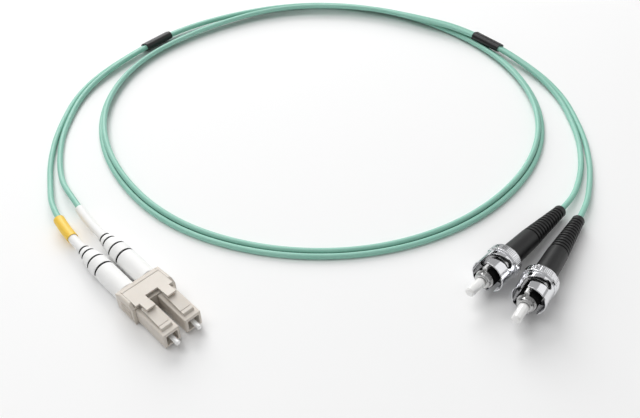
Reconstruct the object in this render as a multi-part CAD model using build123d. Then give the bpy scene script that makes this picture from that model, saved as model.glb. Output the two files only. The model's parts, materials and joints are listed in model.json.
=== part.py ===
# A duplex fiber optic patch cord: an LC duplex plug at one end, two ST bayonet
# connectors at the other, and a 1.6 mm zip cord that lies in one and a half open turns.
# Millimetres, +Z up. The surface it lies on is z = 0, and the origin is on that
# surface, under the middle of the two connector ends.
from build123d import *
from math import atan2, cos, degrees, hypot, pi, radians, sin, tan
import os

os.makedirs("parts", exist_ok=True)

# ---- cord ----
STRAND_D = 1.6          # jacket of one strand
STRAND_GAP = 0.1        # between the jackets, where the web holds them
WEB_D = 0.4             # web that joins the two strands
STRAND_BORE_GAP = 0.06  # round a strand, in a boot
STRAND_INSIDE = 3.0     # how far a free strand reaches into its boot
FIBRE_D = 0.9           # tight-buffered fibre
SLEEVE_L = 10.8         # split sleeve
SLEEVE_WALL = 0.3
SLEEVE_GAP = 0.2        # round the two strands before the sleeve shrinks on the bends

RELIEF_W = 0.6          # relief groove round each ferrule, where its holder ends
RELIEF_DEPTH = 0.2
RELIEF_OUT = 0.2        # how much of the groove is ahead of the holder

# ---- LC plug (local X forward from the nose, Z up, axis at z = 0) ----
LC_PITCH = 6.25         # standard duplex pitch
LC_W = 4.52
LC_H = 4.57
LC_L = 15.5             # housing, nose to rear
LC_FERRULE_D = 1.25
LC_FERRULE_OUT = 2.3    # ferrule tip ahead of the nose
LC_FERRULE_L = 6.5
LC_RECESS_W = 3.1       # square opening in the nose
LC_RECESS_L = 2.9
LC_FRONT_WALL = 0.6     # wall behind the recess, which the flange rests on
LC_CAVITY_R = 1.75
LC_FLANGE_R = 1.45
LC_FLANGE_L = 2.65
LC_STEM_R = 0.75        # flange stem, through the spring
LC_STEM_END = -9.9
LC_SPRING_R = 1.26      # middle of the wire
LC_SPRING_WIRE = 0.3
LC_SPRING_TURNS = 5
LC_BACKBONE_FRONT = -11.2
LC_BACKBONE_END = -21.5
LC_CRIMP_R = 1.28       # crimp stem
LC_CRIMP_WALL = 0.32
LC_ROOT_FRONT = -1.3    # latch root on the housing
LC_ROOT_L = 1.3
LC_LATCH_W = 2.9
LC_LATCH_T = 0.5
LC_LATCH_REAR = -9.5    # free end of the latch
LC_LATCH_LIFT = 0.28    # under the latch at its root

# ---- duplex clip and trigger ----
CLIP_FRONT = -11.0
CLIP_REAR = -18.2
CLIP_WALL = 0.8
CLIP_FLOOR = 0.5        # under the housings
CLIP_ROOF = 0.4
CLIP_GAP = 0.05         # round the housings
TRIGGER_T = 0.55
TRIGGER_W = 10.6
TRIGGER_FRONT = -7.5
TRIGGER_FINGER_W = 8.4  # over both fingers
TRIGGER_SLOT_W = 3.5
TRIGGER_SLOT_REAR = -11.8
TRIGGER_PIVOT_X = -16.7
TRIGGER_PIVOT_R = 0.45
TRIGGER_SLOPE = 7.0     # degrees that the plate rises towards its front
TRIGGER_OVER_LATCH = 0.15
PIVOT_GAP = 0.05

# ---- LC boot ----
LC_BOOT_FRONT = -18.4
LC_BOOT_R = 2.75
LC_BOOT_TAPER = -31.6
LC_BOOT_SHOULDER = -38.6
LC_BOOT_SHOULDER_R = 1.6
LC_TAIL_R = 1.25
LC_TAIL_BEND = 10.0     # degrees that the tail follows the cord
LC_TAIL_L = 13.6
LC_SLOTS = (-28.5, -32.0, -35.6, -37.6)        # upper bend slots
LC_UNDER_SLOTS = (-30.2, -33.8, -36.6)         # lower bend slots
LC_SLOT_W = 0.62
MARKER_L = 8.6
MARKER_R = 1.5

# ---- ST connector (local X forward from the nut's rim) ----
ST_FERRULE_D = 2.5
ST_FERRULE_TIP = 7.7
ST_FERRULE_SEAT = -3.0
ST_HUB_FRONT = 2.4
ST_HUB_R = 2.45
ST_HUB_NOSE_R = 2.1
ST_FLANGE_X = -4.4
ST_FLANGE_R = 3.55
ST_FLANGE_T = 0.8
ST_BODY_END = -12.0
ST_STEM_R = 1.7
ST_STEM_END = -16.5
ST_BORE_R = 0.6
ST_KEY_W = 1.2
ST_KEY_L = 1.7
ST_KEY_R = 3.45
ST_KEY_TURN = 12.0
ST_NUT_BORE_R = 4.03    # takes the 7.95 mm barrel of a receptacle
ST_NUT_R = 4.35
ST_BAND_R = 4.6
ST_BAND_FRONT = -6.0
ST_NUT_L = 8.9
ST_NUT_BACK = 0.9       # rear wall of the nut
ST_NUT_FIT = 0.08       # round the body, radial
ST_SLOT_W = 1.9         # bayonet slots
ST_SLOT_ENTRY = 2.9
ST_SLOT_SWEEP = 66.0
ST_SLOT_DEPTH = 4.4     # from the rim to the middle of the end hole
ST_SLOT_TURN = 28.0     # how far round from the top a slot starts
ST_SLOT_HOLE_R = 1.2
ST_SPRING_R = 3.1
ST_SPRING_WIRE = 0.38
ST_SPRING_TURNS = 2
ST_WASHER_T = 0.4
ST_WASHER_R = 3.7
ST_RING_R = 2.65
ST_RING_GROOVE_R = 2.2
ST_RING_T = 0.5
ST_CRIMP_WALL = 0.4
ST_BOOT_FRONT = -ST_NUT_L - 0.15
ST_BOOT_R = 3.0
ST_BOOT_SMOOTH_END = -20.0
ST_BOOT_SMOOTH_R = 2.75
ST_BOOT_END = -36.2
ST_BOOT_END_R = 1.75
ST_RIBS = 12
ST_RIB_DEPTH = 0.32

# ---- where the ends lie (x, y of the nose or rim, and the heading below +X) ----
LC_AT = (-32.0, -18.9)
LC_HEADING = 45.5
LC_AXIS_Z = LC_H / 2 + CLIP_FLOOR + CLIP_GAP
ST_TILT = 5.0           # nose up, as the nut is the thickest part
ST_AXIS_Z = ST_BAND_R * cos(radians(ST_TILT)) + ST_NUT_L * sin(radians(ST_TILT))
ST_AT = {"a": ((49.6, -12.2), 124.0), "b": ((40.9, -4.9), 133.5)}

SIDES = {"a": -1, "b": 1}
LIFT = STRAND_D / 2     # a strand's middle when it lies on the surface
PAIR = STRAND_D + STRAND_GAP

# ---- route of the joined pair: x, y, height over the surface, roll in degrees.
# The roll lifts the strand on the inside of the turn, as a zip cord does in a bend.
MIDDLE = [
    (-80.0, 57.0, 0, 0),
    (-78.0, 78.0, 0, 15),
    (-67.0, 95.8, 0.6, 28),
    (-48.3, 116.6, 0.6, 28),
    (-15.0, 132.4, 0, 30),
    (16.0, 131.9, 0, 30),
    (43.0, 119.5, 0, 12),
    (63.4, 96.8, 0, 30),
    (70.7, 68.0, 0, 45),
    (63.4, 41.0, 0, 35),
    (42.5, 18.4, 0, 20),
    (15.0, 6.6, 0, 10),
    (-15.0, 6.6, 0, 10),
    (-42.5, 17.8, 0, 25),
    (-62.1, 41.0, 0, 42),
    (-69.8, 67.0, 0, 58),
    (-63.4, 94.0, 0, 40),
    (-43.0, 114.6, 0.6, 30),
    (-15.0, 128.9, 1.4, 30),
    (15.5, 128.4, 1.7, 28),
    (36.5, 119.2, 2.3, 14),
    (51.0, 111.8, 2.3, 12),
    (66.4, 96.4, 1.3, 28),
    (78.0, 78.0, 0, 15),
    (80.0, 57.0, 0, 0),
]
LEFT_SPLIT = 2          # the left sleeve is on the run after this point
RIGHT_SPLIT = 21        # and the right one after this point
# free legs between a boot and the pair: LC side outwards, then ST side inwards
LC_LEG = {
    "a": [(-76.4, 31.0, 1.1), (-79.5, 42.6, 0.8)],
    "b": [(-73.9, 34.0, 1.1), (-77.1, 44.0, 0.8)],
}
ST_LEG = {
    "a": [(79.7, 43.5, 0.8), (76.9, 32.6, 1.1)],
    "b": [(77.4, 44.0, 0.8), (74.4, 34.6, 1.1)],
}


# ---- helpers ----
def turned(*profile):
    """A solid turned about local X from (x, radius) points."""
    face = make_face(Polyline(*[(x, r) for x, r in profile], close=True))
    return revolve(Plane.XY * face, Axis.X, 360)


def tube(x0, x1, outer, inner):
    return turned((x0, inner), (x0, outer), (x1, outer), (x1, inner))


def rod(x0, x1, radius):
    return turned((x0, 0), (x0, radius), (x1, radius), (x1, 0))


def block(x0, x1, y0, y1, z0, z1):
    size = Box(x1 - x0, y1 - y0, z1 - z0)
    return Pos((x0 + x1) / 2, (y0 + y1) / 2, (z0 + z1) / 2) * size


def side_plate(outline, width):
    """A plate as wide as that along Y, from its (x, z) outline."""
    face = make_face(Polyline(*outline, close=True))
    return extrude(Plane.XZ * face, width / 2, both=True)


def coil(x0, x1, radius, wire, turns):
    """A compression spring from x0 back to x1, its wire ends inside those planes."""
    pitch = (x0 - x1 - wire) / turns
    path = Helix(pitch, pitch * turns, radius)
    section = Plane(path @ 0, z_dir=path % 0) * Circle(wire / 2)
    spring = sweep(section, path=path, is_frenet=True)
    return Pos(x1 + wire / 2, 0, 0) * Rot(0, 90, 0) * spring


def arc_slot(x, width, inner, outer, middle, sweep_angle):
    """A cutter for part of a ring: from inner to outer, about the angle from +Z."""
    face = make_face(
        Polyline(
            (x - width / 2, inner),
            (x - width / 2, outer),
            (x + width / 2, outer),
            (x + width / 2, inner),
            close=True,
        )
    )
    ring = revolve(Plane.XY * face, Axis.X, sweep_angle)
    return Rot(90 - sweep_angle / 2 - middle, 0, 0) * ring


def save(name, shape):
    solids = shape.solids()
    if len(solids) != 1:
        print("note:", name, "has", len(solids), "solids")
    shape.label = name
    export_step(shape, f"parts/{name}.step")


# ---- frames ----
LC_FRAME = Pos(LC_AT[0], LC_AT[1], LC_AXIS_Z) * Rot(0, 0, -LC_HEADING)


def lc_frame(side):
    return LC_FRAME * Pos(0, SIDES[side] * LC_PITCH / 2, 0)


def st_frame(side):
    (x, y), heading = ST_AT[side]
    return Pos(x, y, ST_AXIS_Z) * Rot(0, 0, -heading) * Rot(0, -ST_TILT, 0)


# ---- LC plug ----
def lc_housing():
    top = LC_H / 2
    body = block(-LC_L, 0, -LC_W / 2, LC_W / 2, -top, top)
    body = fillet(body.edges().filter_by(Axis.X), 0.3)
    body = chamfer(body.faces().sort_by(Axis.X)[-1].edges(), 0.22)
    root = side_plate(
        [
            (LC_ROOT_FRONT, top - 0.1),
            (LC_ROOT_FRONT - 0.35, top + LC_LATCH_LIFT + LC_LATCH_T),
            (LC_ROOT_FRONT - LC_ROOT_L, top + LC_LATCH_LIFT + LC_LATCH_T),
            (LC_ROOT_FRONT - LC_ROOT_L, top - 0.1),
        ],
        LC_LATCH_W,
    )
    half = LC_RECESS_W / 2
    recess = block(-LC_RECESS_L, 1, -half, half, -half, half)
    recess = fillet(recess.edges().filter_by(Axis.X), 0.25)
    window = rod(-LC_RECESS_L - LC_FRONT_WALL - 1, 0, LC_FERRULE_D / 2 + 0.22)
    cavity = rod(-LC_L - 1, -LC_RECESS_L - LC_FRONT_WALL, LC_CAVITY_R)
    return body + root - recess - window - cavity


def latch_front():
    return LC_ROOT_FRONT - LC_ROOT_L - 0.12


def lc_latch():
    """The arm, which pivots at its front lower corner where the real one flexes."""
    low = LC_H / 2 + LC_LATCH_LIFT
    front, rear = latch_front(), LC_LATCH_REAR
    high = trigger_underside(rear - 0.25) - TRIGGER_OVER_LATCH
    outline = [
        (front, low),
        (front, low + LC_LATCH_T),
        (rear, high),
        (rear - 0.25, high - 0.3),
        (rear, high - LC_LATCH_T),
    ]
    return side_plate(outline, LC_LATCH_W)


def grooved_ferrule(rear, neck, tip, edge, radius):
    """A ferrule with a narrow relief groove that ends just ahead of its holder."""
    low = radius - RELIEF_DEPTH
    return turned(
        (rear, 0),
        (rear, radius),
        (neck - RELIEF_W, radius),
        (neck - RELIEF_W, low),
        (neck, low),
        (neck, radius),
        (tip - edge, radius),
        (tip, radius - edge),
        (tip, 0),
    )


def lc_ferrule():
    rear, neck = LC_FERRULE_OUT - LC_FERRULE_L, RELIEF_OUT - LC_RECESS_L
    return grooved_ferrule(rear, neck, LC_FERRULE_OUT, 0.16, LC_FERRULE_D / 2)


def lc_flange_front():
    return -LC_RECESS_L - LC_FRONT_WALL - 0.1


def lc_ferrule_flange():
    front = lc_flange_front()
    back = front - LC_FLANGE_L
    seat = LC_FERRULE_OUT - LC_FERRULE_L
    bore = FIBRE_D / 2 + 0.05
    return turned(
        (front, LC_FERRULE_D / 2),
        (front, LC_FLANGE_R - 0.4),
        (front - 0.4, LC_FLANGE_R),
        (back, LC_FLANGE_R),
        (back, LC_STEM_R),
        (LC_STEM_END, LC_STEM_R),
        (LC_STEM_END, bore),
        (seat, bore),
        (seat, LC_FERRULE_D / 2),
    )


def lc_spring():
    front = lc_flange_front() - LC_FLANGE_L - 0.02
    return coil(front, LC_BACKBONE_FRONT + 0.02, LC_SPRING_R, LC_SPRING_WIRE, LC_SPRING_TURNS)


def lc_rear_body():
    bore = FIBRE_D / 2 + 0.05
    return turned(
        (LC_BACKBONE_FRONT, LC_STEM_R + 0.15),
        (LC_BACKBONE_FRONT, LC_CAVITY_R - 0.05),
        (-LC_L - 0.05, LC_CAVITY_R - 0.05),
        (-LC_L - 0.05, LC_CAVITY_R + 0.25),
        (-LC_L - 0.85, LC_CAVITY_R + 0.25),
        (-LC_L - 0.85, LC_CRIMP_R),
        (LC_BACKBONE_END, LC_CRIMP_R),
        (LC_BACKBONE_END, bore),
        (LC_BACKBONE_FRONT - 1.6, bore),
        (LC_BACKBONE_FRONT - 1.6, LC_STEM_R + 0.15),
    )


def lc_crimp_end():
    return LC_BACKBONE_END - 2.0


def lc_crimp_sleeve():
    """A ring over the stem, narrowed behind it round the jacket."""
    inner, jacket = LC_CRIMP_R + 0.03, STRAND_D / 2 + 0.02
    return turned(
        (-LC_L - 1.9, inner),
        (-LC_L - 1.9, inner + LC_CRIMP_WALL),
        (LC_BACKBONE_END, inner + LC_CRIMP_WALL),
        (lc_crimp_end(), jacket + LC_CRIMP_WALL),
        (lc_crimp_end(), jacket),
        (LC_BACKBONE_END - 0.5, jacket),
        (LC_BACKBONE_END - 0.1, inner),
    )


def lc_fibre():
    return rod(LC_BACKBONE_FRONT + 0.15, LC_BACKBONE_END - 0.4, FIBRE_D / 2)


def tail_path(start, length):
    """The middle of the boot's tail, measured back from the shoulder."""
    radius = LC_TAIL_L / radians(LC_TAIL_BEND)
    first, last = start / radius, (start + length) / radius
    centre = (LC_BOOT_SHOULDER, radius)

    def point(angle):
        return (centre[0] - radius * sin(angle), centre[1] - radius * cos(angle))

    return ThreePointArc(point(first), point((first + last) / 2), point(last))


def tail_tube(start, length, radius):
    path = tail_path(start, length)
    return sweep(Plane(path @ 0, z_dir=path % 0) * Circle(radius), path=path)


def lc_boot():
    bore = STRAND_D / 2 + STRAND_BORE_GAP
    hollow = LC_CRIMP_R + 0.03 + LC_CRIMP_WALL + 0.05
    step = lc_crimp_end() - 0.3
    outside = turned(
        (LC_BOOT_FRONT, 0),
        (LC_BOOT_FRONT, LC_BOOT_R - 0.15),
        (LC_BOOT_FRONT - 0.15, LC_BOOT_R),
        (LC_BOOT_TAPER, LC_BOOT_R),
        (LC_BOOT_SHOULDER + 3.4, LC_BOOT_SHOULDER_R + 0.55),
        (LC_BOOT_SHOULDER + 0.6, LC_BOOT_SHOULDER_R),
        (LC_BOOT_SHOULDER, LC_BOOT_SHOULDER_R),
        (LC_BOOT_SHOULDER, 0),
    )
    boot = outside + tail_tube(0, LC_TAIL_L, LC_TAIL_R)
    boot = boot - rod(step, LC_BOOT_FRONT + 1, hollow) - rod(LC_BOOT_SHOULDER, step + 1, bore)
    boot = boot - tail_tube(0, LC_TAIL_L, bore)
    for x in LC_SLOTS:
        boot = boot - arc_slot(x, LC_SLOT_W, bore + 0.3, LC_BOOT_R + 1, 0, 172)
    for x in LC_UNDER_SLOTS:
        boot = boot - arc_slot(x, LC_SLOT_W, bore + 0.3, LC_BOOT_R + 1, 180, 150)
    return boot


def lc_cord_end():
    """The jacketed end of a strand inside the boot, from the crimp to the free strand."""
    straight = rod(LC_BOOT_SHOULDER, LC_BACKBONE_END - 0.5, STRAND_D / 2)
    return straight + tail_tube(0, LC_TAIL_L - STRAND_INSIDE, STRAND_D / 2)


def lc_marker_sleeve():
    start = LC_TAIL_L - MARKER_L + 0.25
    sleeve = tail_tube(start, MARKER_L, MARKER_R)
    bore = tail_tube(start, MARKER_L - 0.25, LC_TAIL_R + 0.01)
    return sleeve - bore - tail_tube(start, MARKER_L, STRAND_D / 2 + 0.15)


# ---- duplex clip and trigger ----
def clip_half():
    return LC_PITCH / 2 + LC_W / 2 + CLIP_GAP + CLIP_WALL


def clip_roof():
    return LC_H / 2 + CLIP_GAP + CLIP_ROOF


def pivot_z():
    """The bar lies half sunk in a groove across the roof."""
    return clip_roof() + 0.03 + TRIGGER_T / 2


def lc_duplex_clip():
    half, roof = clip_half(), clip_roof()
    floor = -LC_H / 2 - CLIP_GAP - CLIP_FLOOR
    clip = block(CLIP_REAR, CLIP_FRONT, -half, half, floor, roof)
    clip = fillet(clip.edges().filter_by(Axis.X).group_by(Axis.Z)[-1], 1.1)
    clip = fillet(clip.edges().filter_by(Axis.X).group_by(Axis.Z)[0], 0.4)
    # the walls beside the trigger, which carry its pivot
    for side in (-1, 1):
        y0, y1 = side * (TRIGGER_W / 2 + PIVOT_GAP), side * half
        top = pivot_z() + TRIGGER_T / 2
        rise = (CLIP_FRONT - TRIGGER_PIVOT_X) * tan(radians(TRIGGER_SLOPE))
        wall = side_plate(
            [
                (CLIP_REAR, roof - 1.2),
                (CLIP_REAR, roof - 0.1),
                (TRIGGER_PIVOT_X, top),
                (CLIP_FRONT - 1.6, top + rise - 0.2),
                (CLIP_FRONT, roof - 0.2),
                (CLIP_FRONT, roof - 1.2),
            ],
            abs(y1 - y0),
        )
        wall = Pos(0, (y0 + y1) / 2, 0) * wall
        outer = wall.faces().sort_by(Axis.Y)[0 if side < 0 else -1].edges()
        wall = fillet(outer.sort_by(lambda e: e.center().Z)[-1], 0.75 * abs(y1 - y0))
        clip = clip + wall
    clip = clip - cross_bar(TRIGGER_PIVOT_X, pivot_z(), TRIGGER_PIVOT_R + PIVOT_GAP,
                            TRIGGER_W + 2 * PIVOT_GAP)
    reach = CLIP_GAP + LC_W / 2
    for side in (-1, 1):
        y = side * LC_PITCH / 2
        clip = clip - block(-LC_L - CLIP_GAP, 1, y - reach, y + reach,
                            -LC_H / 2 - CLIP_GAP, LC_H / 2 + CLIP_GAP)
        clip = clip - Pos(0, y, 0) * rod(CLIP_REAR - 1, -LC_L, LC_CAVITY_R + 0.3)
    for side in (-1, 1):
        for z in (-1.2, -0.3, 0.6, 1.5):
            rib = block(CLIP_FRONT - 5.0, CLIP_FRONT - 1.0,
                        min(side * half, side * (half + 0.2)),
                        max(side * half, side * (half + 0.2)), z - 0.17, z + 0.17)
            clip = clip + rib
    return clip


def trigger_underside(x):
    return pivot_z() - TRIGGER_T / 2 + (x - TRIGGER_PIVOT_X) * tan(radians(TRIGGER_SLOPE))


def lc_trigger():
    """The plate over both latches, which turns about a bar between the clip's horns."""
    rear, front = trigger_underside(TRIGGER_PIVOT_X), trigger_underside(TRIGGER_FRONT)
    plate = side_plate(
        [
            (TRIGGER_PIVOT_X, rear),
            (TRIGGER_PIVOT_X, rear + TRIGGER_T),
            (TRIGGER_FRONT, front + TRIGGER_T),
            (TRIGGER_FRONT, front),
        ],
        TRIGGER_W,
    )
    plate = plate + cross_bar(TRIGGER_PIVOT_X, pivot_z(), TRIGGER_PIVOT_R, TRIGGER_W)
    tall = (pivot_z() - 2, pivot_z() + 4)
    slot = TRIGGER_SLOT_W / 2
    plate = plate - block(TRIGGER_SLOT_REAR, 0, -slot, slot, *tall)
    for side in (-1, 1):
        inner, outer = side * TRIGGER_FINGER_W / 2, side * TRIGGER_W
        plate = plate - block(TRIGGER_SLOT_REAR + 1.3, 0, min(inner, outer), max(inner, outer), *tall)
    return plate


def cross_bar(x, z, radius, width):
    return Pos(x, 0, z) * Rot(90, 0, 0) * Cylinder(radius, width)


# ---- ST connector ----
def st_ferrule():
    neck = ST_HUB_FRONT + RELIEF_OUT
    return grooved_ferrule(ST_FERRULE_SEAT, neck, ST_FERRULE_TIP, 0.35, ST_FERRULE_D / 2)


def ring_groove():
    """Front and rear of the retaining ring's groove, just behind the nut."""
    front = -ST_NUT_L - 0.1
    return front, front - ST_RING_T


def st_body():
    front, rear = ring_groove()
    flange_rear = ST_FLANGE_X - ST_FLANGE_T
    return turned(
        (ST_HUB_FRONT, ST_FERRULE_D / 2),
        (ST_HUB_FRONT, ST_HUB_NOSE_R - 0.3),
        (ST_HUB_FRONT - 0.3, ST_HUB_NOSE_R),
        (ST_HUB_FRONT - 1.3, ST_HUB_NOSE_R),
        (ST_HUB_FRONT - 1.3, ST_HUB_R),
        (ST_FLANGE_X, ST_HUB_R),
        (ST_FLANGE_X, ST_FLANGE_R),
        (flange_rear, ST_FLANGE_R),
        (flange_rear, ST_HUB_R),
        (front, ST_HUB_R),
        (front, ST_RING_GROOVE_R),
        (rear, ST_RING_GROOVE_R),
        (rear, ST_HUB_R),
        (ST_BODY_END, ST_HUB_R),
        (ST_BODY_END, ST_STEM_R),
        (ST_STEM_END, ST_STEM_R),
        (ST_STEM_END, ST_BORE_R),
        (ST_FERRULE_SEAT, ST_BORE_R),
        (ST_FERRULE_SEAT, ST_FERRULE_D / 2),
    )


def st_key():
    key = block(ST_HUB_FRONT - 1.4 - ST_KEY_L, ST_HUB_FRONT - 1.4,
                -ST_KEY_W / 2, ST_KEY_W / 2, ST_HUB_R - 0.4, ST_KEY_R)
    key = fillet(key.edges().filter_by(Axis.X).group_by(Axis.Z)[-1], 0.3)
    key = key - rod(-9, 9, ST_HUB_R)
    return Rot(ST_KEY_TURN, 0, 0) * key


def washer_front():
    return -ST_NUT_L + ST_NUT_BACK + ST_WASHER_T


def st_spring():
    front = ST_FLANGE_X - ST_FLANGE_T - 0.02
    return coil(front, washer_front() + 0.02, ST_SPRING_R, ST_SPRING_WIRE, ST_SPRING_TURNS)


def st_thrust_washer():
    return tube(washer_front() - ST_WASHER_T, washer_front(), ST_WASHER_R, ST_HUB_R + ST_NUT_FIT)


def bayonet_slot():
    """In from the rim, then round and back to the hole that holds the receptacle's pin."""
    low, high = ST_HUB_R + 0.5, ST_NUT_R + 0.6
    middle, tall = (low + high) / 2, high - low
    drop = ST_SLOT_DEPTH - ST_SLOT_ENTRY
    span = 2 * ST_NUT_R * sin(radians(ST_SLOT_SWEEP / 2))
    entry = block(-ST_SLOT_ENTRY, 1, -ST_SLOT_W / 2, ST_SLOT_W / 2, low, high)
    corner = Pos(-ST_SLOT_ENTRY, 0, middle) * Cylinder(ST_SLOT_W / 2, tall)
    ramp = Rot(0, 0, degrees(atan2(drop, span))) * Box(ST_SLOT_W, hypot(drop, span), tall)
    ramp = Pos(-(ST_SLOT_ENTRY + ST_SLOT_DEPTH) / 2, 0, middle) * ramp
    hole = Pos(-ST_SLOT_DEPTH, 0, middle) * Cylinder(ST_SLOT_HOLE_R, tall)
    half_sweep = Rot(-ST_SLOT_SWEEP / 2, 0, 0)
    slot = entry + corner + half_sweep * ramp + half_sweep * half_sweep * hole
    return Rot(ST_SLOT_TURN, 0, 0) * slot


def st_coupling_nut():
    back = -ST_NUT_L + ST_NUT_BACK
    nut = turned(
        (0, ST_NUT_BORE_R + 0.15),
        (0, ST_NUT_R - 0.15),
        (-0.15, ST_NUT_R),
        (ST_BAND_FRONT + 0.5, ST_NUT_R),
        (ST_BAND_FRONT + 0.5, ST_NUT_R - 0.15),
        (ST_BAND_FRONT, ST_NUT_R - 0.15),
        (ST_BAND_FRONT, ST_BAND_R - 0.25),
        (ST_BAND_FRONT - 0.25, ST_BAND_R),
        (-ST_NUT_L + 0.4, ST_BAND_R),
        (-ST_NUT_L, ST_BAND_R - 0.4),
        (-ST_NUT_L, ST_HUB_R + ST_NUT_FIT),
        (back, ST_HUB_R + ST_NUT_FIT),
        (back, ST_NUT_BORE_R),
        (-0.15, ST_NUT_BORE_R),
    )
    slot = bayonet_slot()
    return nut - slot - Rot(180, 0, 0) * slot


def st_retaining_ring():
    front, rear = ring_groove()
    return tube(rear + 0.05, front - 0.05, ST_RING_R, ST_RING_GROOVE_R)


def st_crimp_end():
    return ST_STEM_END - 1.8


def st_crimp_sleeve():
    inner, jacket = ST_STEM_R + 0.03, STRAND_D / 2 + 0.02
    return turned(
        (ST_BODY_END - 0.15, inner),
        (ST_BODY_END - 0.15, inner + ST_CRIMP_WALL),
        (ST_STEM_END, inner + ST_CRIMP_WALL),
        (st_crimp_end(), jacket + ST_CRIMP_WALL),
        (st_crimp_end(), jacket),
        (ST_STEM_END - 0.6, jacket),
        (ST_STEM_END - 0.1, inner),
    )


def st_fibre():
    return rod(ST_FERRULE_SEAT - 0.05, ST_STEM_END - 0.5, FIBRE_D / 2)


def st_boot_profile():
    """Outer line of the boot: a smooth front, ribs that shrink, a rounded end."""
    points = [
        (ST_BOOT_FRONT, ST_BOOT_R - 0.2),
        (ST_BOOT_FRONT - 0.2, ST_BOOT_R),
        (ST_BOOT_SMOOTH_END, ST_BOOT_SMOOTH_R),
    ]
    stretch = ST_BOOT_SMOOTH_END - ST_BOOT_END - 1.3
    pitch = stretch / ST_RIBS
    for i in range(ST_RIBS):
        x = ST_BOOT_SMOOTH_END - i * pitch
        crest = ST_BOOT_SMOOTH_R + (ST_BOOT_END_R - ST_BOOT_SMOOTH_R) * (i + 1) / ST_RIBS
        root = crest - ST_RIB_DEPTH
        points += [
            (x - 0.08, root),
            (x - pitch * 0.42, root),
            (x - pitch * 0.52, crest),
            (x - pitch * 0.98, crest),
        ]
    points += [
        (ST_BOOT_END + 0.5, ST_BOOT_END_R),
        (ST_BOOT_END + 0.15, ST_BOOT_END_R - 0.15),
        (ST_BOOT_END, ST_BOOT_END_R - 0.35),
    ]
    return points


def st_boot():
    bore = STRAND_D / 2 + STRAND_BORE_GAP
    hollow = ST_STEM_R + 0.03 + ST_CRIMP_WALL + 0.05
    step = st_crimp_end() - 0.3
    inside = [
        (ST_BOOT_END, bore),
        (step, bore),
        (step, hollow),
        (ST_BODY_END - 0.05, hollow),
        (ST_BODY_END - 0.05, ST_HUB_R + 0.03),
        (ring_groove()[1] - 0.1, ST_HUB_R + 0.03),
        (ring_groove()[1] - 0.1, ST_RING_R + 0.05),
        (ST_BOOT_FRONT, ST_RING_R + 0.05),
    ]
    return turned(*(st_boot_profile() + inside))


def st_cord_end():
    return rod(ST_BOOT_END + STRAND_INSIDE, ST_STEM_END - 0.6, STRAND_D / 2)


# ---- cord ----
def point_at(frame, x, y=0.0):
    p = (frame * Pos(x, y, 0)).position
    return (p.X, p.Y, p.Z)


def lc_exit(side):
    """The strand's first point inside the LC boot's tail, and one straight out of it."""
    path = tail_path(0, LC_TAIL_L)
    inside = path @ (1 - STRAND_INSIDE / LC_TAIL_L)
    end, way = path @ 1, path % 1
    out = end + way * (2 * STRAND_INSIDE)
    frame = lc_frame(side)
    return [point_at(frame, inside.X, inside.Y), point_at(frame, out.X, out.Y)]


def st_exit(side):
    """One point straight out of the ST boot, and the strand's last point inside it."""
    frame = st_frame(side)
    out = ST_BOOT_END - 2 * STRAND_INSIDE
    return [point_at(frame, out), point_at(frame, ST_BOOT_END + STRAND_INSIDE)]


def beside(i, offset):
    """A point of the pair's route moved sideways, to the left of the way it runs."""
    x, y = MIDDLE[i][:2]
    before, after = MIDDLE[max(i - 1, 0)], MIDDLE[min(i + 1, len(MIDDLE) - 1)]
    ways = []
    for p, q in ((before, MIDDLE[i]), (MIDDLE[i], after)):
        run = hypot(q[0] - p[0], q[1] - p[1])
        if run:
            ways.append(((q[0] - p[0]) / run, (q[1] - p[1]) / run))
    wx, wy = sum(w[0] for w in ways), sum(w[1] for w in ways)
    spread = hypot(wx, wy)
    miter = offset * 2 / spread if len(ways) == 2 else offset
    return (x - miter * wy / spread, y + miter * wx / spread)


def pair_point(i, side):
    """A strand's point beside the pair's middle: a is outside the turn, b inside."""
    lift, roll = MIDDLE[i][2], radians(MIDDLE[i][3])
    x, y = beside(i, -SIDES[side] * PAIR / 2 * cos(roll))
    raised = PAIR * sin(roll) if side == "b" else 0
    return (x, y, LIFT + lift + raised)


def web_point(i):
    lift, roll = MIDDLE[i][2], radians(MIDDLE[i][3])
    return (MIDDLE[i][0], MIDDLE[i][1], LIFT + lift + PAIR / 2 * sin(roll))


def halfway(p, q):
    return tuple((u + v) / 2 for u, v in zip(p, q))


def strand_points(side):
    pair = [pair_point(i, side) for i in range(len(MIDDLE))]
    return lc_exit(side) + LC_LEG[side] + pair + ST_LEG[side] + st_exit(side)


def web_points():
    return [web_point(i) for i in range(LEFT_SPLIT, RIGHT_SPLIT + 2)]


def round_route(name, points, diameter, half_ends=False):
    """Straight runs joined by arcs as large as the runs allow.

    With half_ends, the first and last runs start and stop at their middles."""
    spots = [Vector(*p) for p in points]
    runs = [b - a for a, b in zip(spots, spots[1:])]
    radii = []
    for p, q in zip(runs, runs[1:]):
        turn = radians(p.get_angle(q))
        radii.append(0.45 * min(p.length, q.length) / tan(turn / 2))
    if half_ends:
        spots[0] = (spots[0] + spots[1]) * 0.5
        spots[-1] = (spots[-1] + spots[-2]) * 0.5
    path = FilletPolyline(*spots, radius=radii)
    section = Plane(path @ 0, z_dir=path % 0) * Circle(diameter / 2)
    cord = sweep(section, path=path)
    share = cord.volume / (pi * diameter**2 / 4 * path.length)
    print(name, "length", round(path.length, 1), "volume share", round(share, 4))
    print("  runs", [round(r.length, 1) for r in runs])
    print("  radii", [round(r, 1) for r in radii])
    return cord


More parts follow.
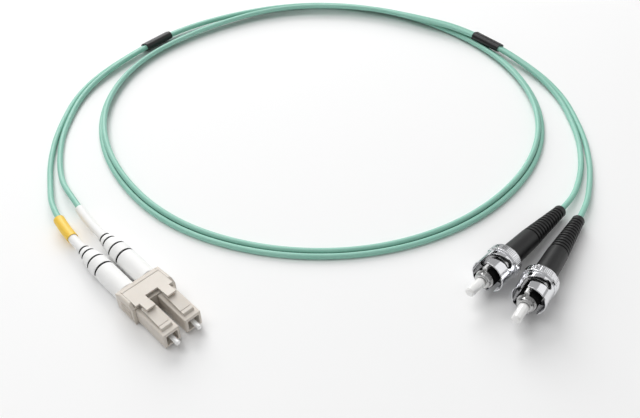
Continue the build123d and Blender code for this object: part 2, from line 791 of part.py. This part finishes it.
def split_sleeve(i):
    """A flat-sided tube round both strands, in the middle of the run after point i."""
    start, end = web_point(i), web_point(i + 1)
    middle = Vector(*halfway(start, end))
    along = (Vector(*end) - Vector(*start)).normalized()
    roll = radians((MIDDLE[i][3] + MIDDLE[i + 1][3]) / 2)
    left = Vector(-along.Y, along.X, 0).normalized()
    across = left * cos(roll) - Vector(0, 0, 1) * sin(roll)
    plane = Plane(middle - along * (SLEEVE_L / 2), x_dir=across, z_dir=along)
    inner = STRAND_D + 2 * SLEEVE_GAP
    outer = inner + 2 * SLEEVE_WALL
    ring = SlotOverall(outer + PAIR, outer) - SlotOverall(inner + PAIR, inner)
    return extrude(plane * ring, SLEEVE_L)


# ---- everything in its place ----
for side in SIDES:
    here = lc_frame(side)
    save(f"lc_housing_{side}", here * lc_housing())
    save(f"lc_latch_{side}", here * lc_latch())
    save(f"lc_ferrule_{side}", here * lc_ferrule())
    save(f"lc_ferrule_flange_{side}", here * lc_ferrule_flange())
    save(f"lc_spring_{side}", here * lc_spring())
    save(f"lc_rear_body_{side}", here * lc_rear_body())
    save(f"lc_crimp_sleeve_{side}", here * lc_crimp_sleeve())
    save(f"lc_fibre_{side}", here * lc_fibre())
    save(f"lc_boot_{side}", here * lc_boot())
    save(f"lc_cord_end_{side}", here * lc_cord_end())

save("lc_duplex_clip", LC_FRAME * lc_duplex_clip())
save("lc_trigger", LC_FRAME * lc_trigger())
save("lc_marker_sleeve", lc_frame("a") * lc_marker_sleeve())

for side in SIDES:
    here = st_frame(side)
    save(f"st_ferrule_{side}", here * st_ferrule())
    save(f"st_body_{side}", here * st_body())
    save(f"st_key_{side}", here * st_key())
    save(f"st_spring_{side}", here * st_spring())
    save(f"st_thrust_washer_{side}", here * st_thrust_washer())
    save(f"st_coupling_nut_{side}", here * st_coupling_nut())
    save(f"st_retaining_ring_{side}", here * st_retaining_ring())
    save(f"st_crimp_sleeve_{side}", here * st_crimp_sleeve())
    save(f"st_fibre_{side}", here * st_fibre())
    save(f"st_boot_{side}", here * st_boot())
    save(f"st_cord_end_{side}", here * st_cord_end())

for side in SIDES:
    name = f"cord_strand_{side}"
    save(name, round_route(name, strand_points(side), STRAND_D))
save("cord_web", round_route("cord_web", web_points(), WEB_D, half_ends=True))
save("split_sleeve_left", split_sleeve(LEFT_SPLIT))
save("split_sleeve_right", split_sleeve(RIGHT_SPLIT))
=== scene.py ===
import bpy
import json
from math import cos, hypot, pi, radians, sin
from mathutils import Matrix, Vector


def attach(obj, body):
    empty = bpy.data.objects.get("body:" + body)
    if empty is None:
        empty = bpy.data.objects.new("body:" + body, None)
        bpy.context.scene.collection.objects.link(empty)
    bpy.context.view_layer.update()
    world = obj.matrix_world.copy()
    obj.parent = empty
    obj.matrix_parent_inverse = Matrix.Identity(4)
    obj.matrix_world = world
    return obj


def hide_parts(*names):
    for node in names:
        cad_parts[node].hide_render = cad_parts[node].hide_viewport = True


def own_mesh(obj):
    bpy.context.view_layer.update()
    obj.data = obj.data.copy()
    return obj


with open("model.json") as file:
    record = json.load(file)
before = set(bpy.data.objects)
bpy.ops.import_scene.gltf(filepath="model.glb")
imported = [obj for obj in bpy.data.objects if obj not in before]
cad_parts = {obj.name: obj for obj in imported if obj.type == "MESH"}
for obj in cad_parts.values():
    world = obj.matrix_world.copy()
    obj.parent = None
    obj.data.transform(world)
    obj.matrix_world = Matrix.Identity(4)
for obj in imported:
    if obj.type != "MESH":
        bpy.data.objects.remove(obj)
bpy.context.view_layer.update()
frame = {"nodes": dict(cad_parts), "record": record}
NODES = frame["nodes"]
MM = 0.001


# ---- camera ----
def add_camera():
    data = bpy.data.cameras.new("view")
    data.lens = 42
    data.sensor_width = 36
    data.clip_start = 0.005
    data.clip_end = 20
    camera = bpy.data.objects.new("view", data)
    camera.location = (0, -0.1226, 0.1466)
    camera.rotation_euler = (radians(45), 0, 0)
    bpy.context.collection.objects.link(camera)
    bpy.context.scene.camera = camera


add_camera()

# ---- cord: millimetres ----
STRAND = 1.6
PAIR = 1.7
WEB = 0.4
# middle of the joined pair: x, y, height over the surface, roll in degrees
MIDDLE = [
    (-80.0, 57.0, 0, 0),
    (-78.0, 78.0, 0, 15),
    (-67.0, 95.8, 0.6, 28),
    (-48.3, 116.6, 0.6, 28),
    (-15.0, 132.4, 0, 30),
    (16.0, 131.9, 0, 30),
    (43.0, 119.5, 0, 12),
    (63.4, 96.8, 0, 30),
    (70.7, 68.0, 0, 45),
    (63.4, 41.0, 0, 35),
    (42.5, 18.4, 0, 20),
    (15.0, 6.6, 0, 10),
    (-15.0, 6.6, 0, 10),
    (-42.5, 17.8, 0, 25),
    (-62.1, 41.0, 0, 42),
    (-69.8, 67.0, 0, 58),
    (-63.4, 94.0, 0, 40),
    (-43.0, 114.6, 0.6, 30),
    (-15.0, 128.9, 1.4, 30),
    (15.5, 128.4, 1.7, 28),
    (36.5, 119.2, 2.3, 14),
    (51.0, 111.8, 2.3, 12),
    (66.4, 96.4, 1.3, 28),
    (78.0, 78.0, 0, 15),
    (80.0, 57.0, 0, 0),
]
LEFT_SPLIT = 2
RIGHT_SPLIT = 21
# each strand's points from inside its LC boot to the pair, and from the pair into its ST boot
START = {
    "a": [(-68.2, 14.5, 2.8), (-73.3, 21.9, 2.8), (-76.4, 31.0, 1.1), (-79.5, 42.6, 0.8)],
    "b": [(-63.7, 18.9, 2.8), (-68.9, 26.2, 2.8), (-73.9, 34.0, 1.1), (-77.1, 44.0, 0.8)],
}
END = {
    "a": [(79.7, 43.5, 0.8), (76.9, 32.6, 1.1), (73.1, 22.7, 1.7), (68.1, 15.2, 2.5)],
    "b": [(77.4, 44.0, 0.8), (74.4, 34.6, 1.1), (69.8, 25.6, 1.7), (63.7, 19.1, 2.5)],
}
SIDES = {"a": -1, "b": 1}


def beside(i, offset):
    """A point of the pair's route moved to the left of the way it runs."""
    x, y = MIDDLE[i][:2]
    before, after = MIDDLE[max(i - 1, 0)], MIDDLE[min(i + 1, len(MIDDLE) - 1)]
    ways = []
    for p, q in ((before, MIDDLE[i]), (MIDDLE[i], after)):
        run = hypot(q[0] - p[0], q[1] - p[1])
        if run:
            ways.append(((q[0] - p[0]) / run, (q[1] - p[1]) / run))
    wx, wy = sum(w[0] for w in ways), sum(w[1] for w in ways)
    spread = hypot(wx, wy)
    miter = offset * 2 / spread if len(ways) == 2 else offset
    return x - miter * wy / spread, y + miter * wx / spread


def pair_point(i, side):
    lift, roll = MIDDLE[i][2], radians(MIDDLE[i][3])
    x, y = beside(i, -SIDES[side] * PAIR / 2 * cos(roll))
    return x, y, STRAND / 2 + lift + (PAIR * sin(roll) if side == "b" else 0)


def web_point(i):
    lift, roll = MIDDLE[i][2], radians(MIDDLE[i][3])
    return MIDDLE[i][0], MIDDLE[i][1], STRAND / 2 + lift + PAIR / 2 * sin(roll)


def line(name, points, diameter):
    """A round cord along one smooth spline whose control points are these."""
    curve = bpy.data.curves.new(name, "CURVE")
    curve.dimensions = "3D"
    spline = curve.splines.new("NURBS")
    spline.points.add(len(points) - 1)
    for spot, p in zip(spline.points, points):
        spot.co = (p[0] * MM, p[1] * MM, p[2] * MM, 1)
        spot.radius = diameter / 2 * MM
    spline.order_u = 3
    spline.use_endpoint_u = True
    spline.resolution_u = 24
    curve.bevel_depth = 1.0
    curve.bevel_resolution = 9
    curve.use_fill_caps = True
    piece = bpy.data.objects.new(name, curve)
    bpy.context.collection.objects.link(piece)
    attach(piece, "base")
    return piece


def strand_points(side):
    pair = [pair_point(i, side) for i in range(len(MIDDLE))]
    return START[side] + pair + END[side]


def add_cords():
    strands = {}
    for side in SIDES:
        strand = line(f"strand_{side}", strand_points(side), STRAND)
        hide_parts(f"cord_strand_{side}")
        strands[side] = strand
    between = [web_point(i) for i in range(LEFT_SPLIT, RIGHT_SPLIT + 2)]
    between[0] = tuple((p + q) / 2 for p, q in zip(between[0], between[1]))
    between[-1] = tuple((p + q) / 2 for p, q in zip(between[-1], between[-2]))
    web = line("web", between, WEB)
    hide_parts("cord_web")
    return strands, web


strands, web = add_cords()


# ---- shader maths ----
class Wire:
    """A shader value; arithmetic on it adds the nodes that do the sum."""

    def __init__(self, recipe, socket):
        self.recipe, self.socket = recipe, socket

    def sum(self, operation, *values, clamp=False):
        node = self.recipe.tree.nodes.new("ShaderNodeMath")
        node.operation, node.use_clamp = operation, clamp
        for i, value in enumerate(values):
            self.recipe.feed(node.inputs[i], value)
        return Wire(self.recipe, node.outputs[0])

    def __add__(self, other):
        return self.sum("ADD", self, other)

    def __radd__(self, other):
        return self.sum("ADD", other, self)

    def __sub__(self, other):
        return self.sum("SUBTRACT", self, other)

    def __rsub__(self, other):
        return self.sum("SUBTRACT", other, self)

    def __mul__(self, other):
        return self.sum("MULTIPLY", self, other)

    def __rmul__(self, other):
        return self.sum("MULTIPLY", other, self)

    def clamped(self):
        return self.sum("ADD", self, 0.0, clamp=True)


class Recipe:
    """One material, built from nodes."""

    def __init__(self, name):
        self.material = bpy.data.materials.new(name)
        self.material.use_nodes = True
        self.tree = self.material.node_tree
        self.shader = self.tree.nodes["Principled BSDF"]
        self.place = self.node("TexCoord")["Object"]

    def feed(self, socket, value):
        if isinstance(value, Wire):
            self.tree.links.new(value.socket, socket)
        else:
            socket.default_value = value

    def node(self, kind, settings=None, **inputs):
        """Adds a node; its outputs come back by name."""
        made = self.tree.nodes.new("ShaderNode" + kind)
        for key, value in (settings or {}).items():
            setattr(made, key, value)
        for key, value in inputs.items():
            self.feed(made.inputs[key], value)
        return {out.name: Wire(self, out) for out in made.outputs if out.enabled}

    def noise(self, scale, detail=2.0, roughness=0.5):
        made = self.node("TexNoise", Vector=self.place, Scale=scale,
                         Detail=detail, Roughness=roughness)
        return made["Fac"]

    def blend(self, share, first, second):
        node = self.tree.nodes.new("ShaderNodeMix")
        node.data_type = "RGBA"
        for socket, value in zip((node.inputs[0], node.inputs[6], node.inputs[7]),
                                 (share, first, second)):
            self.feed(socket, value)
        return Wire(self, node.outputs[2])

    def rounded(self, radius):
        return self.node("Bevel", {"samples": 6}, Radius=radius)["Normal"]

    def bump(self, height, distance, strength=1.0, base=None):
        inputs = {"Height": height, "Distance": distance, "Strength": strength}
        if base:
            inputs["Normal"] = base
        return self.node("Bump", **inputs)["Normal"]

    def set(self, **inputs):
        for key, value in inputs.items():
            self.feed(self.shader.inputs[key.replace("_", " ")], value)
        return self.material


def rgb(r, g, b):
    """A colour as seen on a screen, 0 to 255, turned to light."""
    def light(v):
        v /= 255
        return v / 12.92 if v <= 0.04045 else ((v + 0.055) / 1.055) ** 2.4
    return light(r), light(g), light(b), 1.0


# ---- finishes ----
def aqua_jacket():
    m = Recipe("aqua_jacket")
    cloud = m.noise(60, 3, 0.6)
    speck = m.noise(1600, 2, 0.6)
    tint = (cloud * 0.75 + speck * 0.35 - 0.05).clamped()
    colour = m.blend(tint, rgb(132, 190, 172), rgb(160, 210, 194))
    grain = m.noise(2600, 3, 0.7)
    ripple = m.noise(420, 1, 0.4)
    return m.set(
        Base_Color=colour,
        Roughness=(0.34 + grain * 0.16).clamped(),
        Normal=m.bump(grain * 0.5 + ripple, 0.00005, 0.5),
        Specular_IOR_Level=0.42,
        Subsurface_Weight=0.12,
        Subsurface_Radius=(0.4, 1.0, 0.8),
        Subsurface_Scale=0.0006,
    )


def painted_groove_shade():
    """The bead between the strands, painted near black as the shade down in the groove."""
    m = Recipe("painted_groove_shade")
    cloud = m.noise(90, 3, 0.6)
    grain = m.noise(2600, 3, 0.7)
    # painted shade: the groove's shade is painted into the bead's colour
    colour = m.blend(cloud, rgb(2, 26, 20), rgb(10, 44, 36))
    return m.set(
        Base_Color=colour,
        Roughness=(0.5 + grain * 0.16).clamped(),
        Normal=m.bump(grain, 0.00004, 0.5),
        Specular_IOR_Level=0.2,
    )


def slot_shadow():
    """Painted shade: the dark inside of the boots' bend slots and of the nuts."""
    m = Recipe("slot_shadow")
    cloud = m.noise(400, 3, 0.6)
    colour = m.blend(cloud, rgb(4, 4, 4), rgb(14, 14, 14))
    return m.set(
        Base_Color=colour,
        Roughness=(0.7 + cloud * 0.15).clamped(),
        Normal=m.bump(cloud, 0.00002, 0.4),
        Specular_IOR_Level=0.1,
    )


def beige_plastic():
    m = Recipe("beige_plastic")
    cloud = m.noise(180, 3, 0.6)
    grain = m.noise(5200, 2, 0.6)
    colour = m.blend((cloud * 1.2 - 0.1).clamped(), rgb(205, 197, 186), rgb(220, 213, 204))
    return m.set(
        Base_Color=colour,
        Roughness=(0.36 + grain * 0.14).clamped(),
        Normal=m.bump(grain, 0.00003, 0.5, m.rounded(0.00012)),
        Specular_IOR_Level=0.45,
        Subsurface_Weight=0.1,
        Subsurface_Radius=(1.0, 0.8, 0.6),
        Subsurface_Scale=0.0005,
    )


def white_rubber():
    m = Recipe("white_rubber")
    cloud = m.noise(220, 3, 0.6)
    grain = m.noise(4200, 2, 0.7)
    colour = m.blend(cloud, rgb(240, 240, 238), rgb(250, 250, 249))
    return m.set(
        Base_Color=colour,
        Roughness=(0.5 + grain * 0.18).clamped(),
        Normal=m.bump(grain, 0.00004, 0.5, m.rounded(0.0001)),
        Specular_IOR_Level=0.35,
        Subsurface_Weight=0.15,
        Subsurface_Radius=(1.0, 1.0, 1.0),
        Subsurface_Scale=0.0006,
    )


def yellow_sleeve():
    m = Recipe("yellow_sleeve")
    cloud = m.noise(260, 3, 0.6)
    grain = m.noise(3000, 3, 0.7)
    colour = m.blend(cloud, rgb(243, 196, 52), rgb(251, 214, 92))
    return m.set(
        Base_Color=colour,
        Roughness=(0.34 + grain * 0.2).clamped(),
        Normal=m.bump(grain + cloud, 0.00005, 0.5, m.rounded(0.0001)),
        Specular_IOR_Level=0.5,
    )


def black_rubber():
    m = Recipe("black_rubber")
    cloud = m.noise(240, 3, 0.6)
    grain = m.noise(4600, 2, 0.7)
    colour = m.blend(cloud, rgb(9, 9, 10), rgb(20, 20, 21))
    return m.set(
        Base_Color=colour,
        Roughness=(0.34 + grain * 0.2).clamped(),
        Normal=m.bump(grain, 0.00004, 0.5, m.rounded(0.0001)),
        Specular_IOR_Level=0.5,
    )


def shrink_tube():
    m = Recipe("shrink_tube")
    cloud = m.noise(300, 3, 0.6)
    grain = m.noise(3600, 2, 0.7)
    colour = m.blend(cloud, rgb(8, 8, 9), rgb(18, 17, 18))
    return m.set(
        Base_Color=colour,
        Roughness=(0.3 + grain * 0.2).clamped(),
        Normal=m.bump(grain * 0.6 + cloud, 0.00008, 0.5, m.rounded(0.0001)),
        Specular_IOR_Level=0.5,
    )


def chrome_plate():
    m = Recipe("chrome_plate")
    smear = m.noise(500, 3, 0.6)
    grain = m.noise(9000, 2, 0.6)
    colour = m.blend(smear, rgb(224, 225, 228), rgb(240, 240, 242))
    return m.set(
        Base_Color=colour,
        Metallic=1.0,
        Roughness=(0.05 + smear * 0.07).clamped(),
        Normal=m.bump(grain, 0.000004, 0.4, m.rounded(0.00012)),
    )


def nickel_body():
    m = Recipe("nickel_body")
    smear = m.noise(700, 3, 0.6)
    grain = m.noise(6000, 2, 0.6)
    colour = m.blend(smear, rgb(188, 188, 188), rgb(208, 208, 207))
    return m.set(
        Base_Color=colour,
        Metallic=1.0,
        Roughness=(0.2 + smear * 0.14).clamped(),
        Normal=m.bump(grain, 0.00001, 0.4, m.rounded(0.0001)),
    )


def spring_wire():
    m = Recipe("spring_wire")
    smear = m.noise(900, 3, 0.6)
    colour = m.blend(smear, rgb(150, 150, 152), rgb(185, 185, 186))
    return m.set(
        Base_Color=colour,
        Metallic=1.0,
        Roughness=(0.22 + smear * 0.14).clamped(),
        Normal=m.bump(smear, 0.00001, 0.4),
    )


def crimp_metal():
    m = Recipe("crimp_metal")
    smear = m.noise(800, 3, 0.6)
    colour = m.blend(smear, rgb(178, 178, 180), rgb(205, 205, 206))
    return m.set(
        Base_Color=colour,
        Metallic=1.0,
        Roughness=(0.3 + smear * 0.14).clamped(),
        Normal=m.bump(smear, 0.00001, 0.4),
    )


def zirconia():
    m = Recipe("zirconia")
    cloud = m.noise(700, 3, 0.6)
    grain = m.noise(9000, 2, 0.6)
    colour = m.blend(cloud, rgb(238, 238, 236), rgb(249, 249, 248))
    return m.set(
        Base_Color=colour,
        Roughness=(0.06 + cloud * 0.07).clamped(),
        Normal=m.bump(grain, 0.000003, 0.4, m.rounded(0.00006)),
        Specular_IOR_Level=0.8,
        IOR=1.7,
        Coat_Weight=0.4,
        Coat_Roughness=0.05,
    )


def fibre_buffer():
    m = Recipe("fibre_buffer")
    cloud = m.noise(700, 3, 0.6)
    colour = m.blend(cloud, rgb(226, 226, 222), rgb(240, 240, 238))
    return m.set(
        Base_Color=colour,
        Roughness=(0.4 + cloud * 0.1).clamped(),
        Normal=m.bump(cloud, 0.00001, 0.4),
    )


def pale_floor():
    m = Recipe("pale_floor")
    cloud = m.noise(3, 2, 0.5)
    colour = m.blend(cloud, (0.93, 0.93, 0.93, 1), (0.94, 0.94, 0.94, 1))
    return m.set(Base_Color=colour, Roughness=0.9, Specular_IOR_Level=0.1)


FINISHES = {
    "cord_jacket": aqua_jacket(),
    "lc_plastic": beige_plastic(),
    "white_boot": white_rubber(),
    "marker_yellow": yellow_sleeve(),
    "ceramic": zirconia(),
    "plated_metal": nickel_body(),
    "spring_steel": spring_wire(),
    "crimp_metal": crimp_metal(),
    "fibre_buffer": fibre_buffer(),
    "chrome_nut": chrome_plate(),
    "black_boot": black_rubber(),
    "black_sleeve": shrink_tube(),
}


def paint(piece, material):
    if not piece.data.materials:
        piece.data.materials.append(material)
    for slot in piece.material_slots:
        slot.link = "OBJECT"
        slot.material = material


def paint_nodes():
    for part in frame["record"]["subparts"]:
        piece = NODES.get(part["node"])
        if piece:
            paint(piece, FINISHES[part["material_slot"]])


paint_nodes()
for strand in strands.values():
    paint(strand, FINISHES["cord_jacket"])
# the bead between the strands wears painted groove shade
paint(web, painted_groove_shade())


# ---- small pieces: millimetres ----
def solid_piece(name, body, verts, faces, material, smooth=False):
    mesh = bpy.data.meshes.new(name)
    mesh.from_pydata([tuple(v) for v in verts], [], faces)
    mesh.update()
    piece = bpy.data.objects.new(name, mesh)
    bpy.context.collection.objects.link(piece)
    mesh.materials.append(material)
    for face in mesh.polygons:
        face.use_smooth = smooth
    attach(piece, body)
    return piece


def ring_band(place, rings, count):
    """Verts and faces of a closed ring; rings holds its (x, radius at a crest, at a root)."""
    verts, faces = [], []
    for x, crest, root in rings:
        for i in range(count):
            r = crest if i % 2 else root
            angle = 2 * pi * i / count
            verts.append(place @ Vector((x * MM, r * MM * sin(angle), r * MM * cos(angle))))
    total = len(rings)
    for k in range(total):
        for i in range(count):
            j, n = (i + 1) % count, (k + 1) % total
            faces.append((k * count + i, k * count + j, n * count + j, n * count + i))
    return verts, faces


# x, y and heading of the pair of LC plugs, how high their axes are, and how far apart
LC_AT = (-32.0, -18.9, 45.5)
LC_HEIGHT = 2.835
LC_PITCH = 6.25


def lc_place(side):
    """The frame of one LC plug, nose at its origin and X forward."""
    x, y, heading = LC_AT
    turn = Matrix.Rotation(radians(-heading), 4, "Z")
    shift = Matrix.Translation((0, SIDES[side] * LC_PITCH / 2 * MM, 0))
    return Matrix.Translation((x * MM, y * MM, LC_HEIGHT * MM)) @ turn @ shift


# x, y and heading of each ST connector; the back of its nut rests on the surface
ST_AT = {"a": (49.6, -12.2, 124.0), "b": (40.9, -4.9, 133.5)}
ST_TILT = 5.0
ST_BAND_R = 4.6
ST_NUT_L = 8.9
ST_HEIGHT = ST_BAND_R * cos(radians(ST_TILT)) + ST_NUT_L * sin(radians(ST_TILT))


def st_place(side):
    """The frame of one ST connector, its nut's rim at the origin and X forward."""
    x, y, heading = ST_AT[side]
    turn = Matrix.Rotation(radians(-heading), 4, "Z")
    tilt = Matrix.Rotation(radians(-ST_TILT), 4, "Y")
    return Matrix.Translation((x * MM, y * MM, ST_HEIGHT * MM)) @ turn @ tilt


# where the boot's slots are, and how far out its skin is there
BOOT_SLOTS = [(-28.5, 2.75), (-30.2, 2.75), (-32.0, 2.68), (-33.8, 2.38), (-35.6, 2.07),
              (-36.6, 1.87), (-37.6, 1.67)]
SLOT_HALF = 0.26
# depth under the skin and bore of the dark rings that paint shade into the slots
SHADE_RING_DEPTH = 0.06
SHADE_RING_BORE = 1.0


def plain_band(rear, front, inner, outer):
    """Rings of a smooth sleeve, for ring_band."""
    profile = [(rear, inner), (rear, outer), (front, outer), (front, inner)]
    return [(x, radius, radius) for x, radius in profile]


def add_slot_shade_rings():
    # painted shade: a dark ring fills each bend slot of the boots
    dark = slot_shadow()
    for side in SIDES:
        for i, (x, skin) in enumerate(BOOT_SLOTS):
            rings = plain_band(x - SLOT_HALF, x + SLOT_HALF, SHADE_RING_BORE, skin - SHADE_RING_DEPTH)
            verts, faces = ring_band(lc_place(side), rings, 48)
            solid_piece(f"slot_shade_ring_{side}_{i}", "base", verts, faces, dark, True)


def add_knurls():
    """The straight knurl round each nut's band."""
    for side in SIDES:
        rings = [(-6.5, 4.5, 4.5), (-6.5, 4.65, 4.6), (-8.3, 4.65, 4.6), (-8.3, 4.5, 4.5)]
        verts, faces = ring_band(st_place(side), rings, 144)
        solid_piece(f"knurl_{side}", f"nut_{side}", verts, faces, FINISHES["chrome_nut"])


def add_hub_shade_sleeves():
    """A dark sleeve over each hub, inside the nut: painted shade there."""
    # painted shade inside the nut, on a sleeve round the hub
    dark = slot_shadow()
    for side in SIDES:
        verts, faces = ring_band(st_place(side), plain_band(-4.2, 0.9, 2.46, 2.6), 64)
        solid_piece(f"hub_shade_sleeve_{side}", "base", verts, faces, dark, True)


def coil_spring(name, place, rear, front, radius, wire, turns):
    """A round wire wound from rear to front about the frame's X axis."""
    around, steps = 10, 24 * turns
    travel = front - rear - wire
    rise = travel / (2 * pi * turns)
    verts, faces = [], []
    for k in range(steps + 1):
        angle = 2 * pi * turns * k / steps
        out = Vector((0, cos(angle), sin(angle)))
        along = Vector((rise, -radius * sin(angle), radius * cos(angle))).normalized()
        centre = Vector((rear + wire / 2 + travel * k / steps, 0, 0)) + out * radius
        across = along.cross(out)
        for i in range(around):
            turn = 2 * pi * i / around
            point = centre + (out * cos(turn) + across * sin(turn)) * (wire / 2)
            verts.append(place @ (point * MM))
    for k in range(steps):
        for i in range(around):
            j = (i + 1) % around
            low, high = k * around, (k + 1) * around
            faces.append((low + i, low + j, high + j, high + i))
    faces.append(tuple(reversed(range(around))))
    faces.append(tuple(steps * around + i for i in range(around)))
    return solid_piece(name, "base", verts, faces, FINISHES["spring_steel"], True)


# rear and front of each spring, its radius, wire and turns
LC_SPRING = (-11.18, -6.27, 1.26, 0.3, 5)
ST_SPRING = (-7.58, -5.22, 3.1, 0.38, 2)


def shorten(piece):
    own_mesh(piece)


def add_springs():
    """Coil springs in place of the CAD springs at each plug, each with a mesh of its own."""
    for side in SIDES:
        place = lc_place(side)
        piece = coil_spring(f"lc_spring_coil_{side}", place, *LC_SPRING)
        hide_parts(f"lc_spring_{side}")
        shorten(piece)
        place = st_place(side)
        piece = coil_spring(f"st_spring_coil_{side}", place, *ST_SPRING)
        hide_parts(f"st_spring_{side}")
        shorten(piece)


add_slot_shade_rings()
add_knurls()
add_hub_shade_sleeves()
add_springs()


# ---- studio ----
def add_floor():
    mesh = bpy.data.meshes.new("floor")
    reach = 3.0
    corners = [(-reach, -reach, 0), (reach, -reach, 0), (reach, reach, 0), (-reach, reach, 0)]
    mesh.from_pydata(corners, [], [(0, 1, 2, 3)])
    floor = bpy.data.objects.new("floor", mesh)
    floor.location.z = -0.00002
    bpy.context.collection.objects.link(floor)
    floor.data.materials.append(pale_floor())


def facing(at, look_at):
    return (Vector(look_at) - Vector(at)).to_track_quat("-Z", "Y").to_euler()


def add_card(name, centre, width, height, look_at, glow):
    """A flat card that shows in polished metal only."""
    mesh = bpy.data.meshes.new(name)
    w, h = width / 2, height / 2
    mesh.from_pydata([(-w, -h, 0), (w, -h, 0), (w, h, 0), (-w, h, 0)], [], [(0, 1, 2, 3)])
    card = bpy.data.objects.new(name, mesh)
    card.location = centre
    card.rotation_euler = facing(centre, look_at)
    bpy.context.collection.objects.link(card)
    m = Recipe(name)
    mesh.materials.append(m.set(
        Base_Color=(0.004, 0.004, 0.004, 1),
        Roughness=0.9,
        Specular_IOR_Level=0.0,
        Emission_Color=(1, 1, 1, 1),
        Emission_Strength=glow,
    ))
    card.visible_camera = card.visible_diffuse = card.visible_shadow = False


def add_light(name, at, look_at, width, height, power):
    data = bpy.data.lights.new(name, "AREA")
    data.shape = "RECTANGLE"
    data.size, data.size_y = width, height
    data.energy = power
    light = bpy.data.objects.new(name, data)
    light.location = at
    light.rotation_euler = facing(at, look_at)
    bpy.context.collection.objects.link(light)


def add_world(strength):
    world = bpy.data.worlds.new("studio")
    world.use_nodes = True
    background = world.node_tree.nodes["Background"]
    background.inputs["Color"].default_value = (1, 1, 1, 1)
    background.inputs["Strength"].default_value = strength
    bpy.context.scene.world = world


def add_studio():
    add_floor()
    add_world(0.42)
    add_light("key", (-0.25, 0.85, 0.55), (0, 0.05, 0), 0.7, 0.7, 7.4)
    add_light("fill", (-0.35, 0.10, 0.9), (0, 0.05, 0), 0.6, 0.6, 3.0)
    add_card("flag_back", (0.02, 0.50, 0.09), 0.9, 0.18, (0.02, 0, 0.05), 0.0)
    add_card("flag_left", (-0.35, -0.05, 0.10), 0.3, 0.2, (0.05, 0, 0), 0.0)
    add_card("flag_front", (0.25, -0.32, 0.06), 0.5, 0.12, (0.05, 0, 0), 0.0)
    add_card("glow_top", (0.05, 0.30, 0.85), 0.9, 0.7, (0.05, 0, 0), 1.1)
    add_card("glow_right", (0.60, 0.12, 0.32), 0.5, 0.4, (0.05, 0, 0), 1.0)
    view = bpy.context.scene.view_settings
    view.view_transform = "Standard"
    view.look = "None"


add_studio()
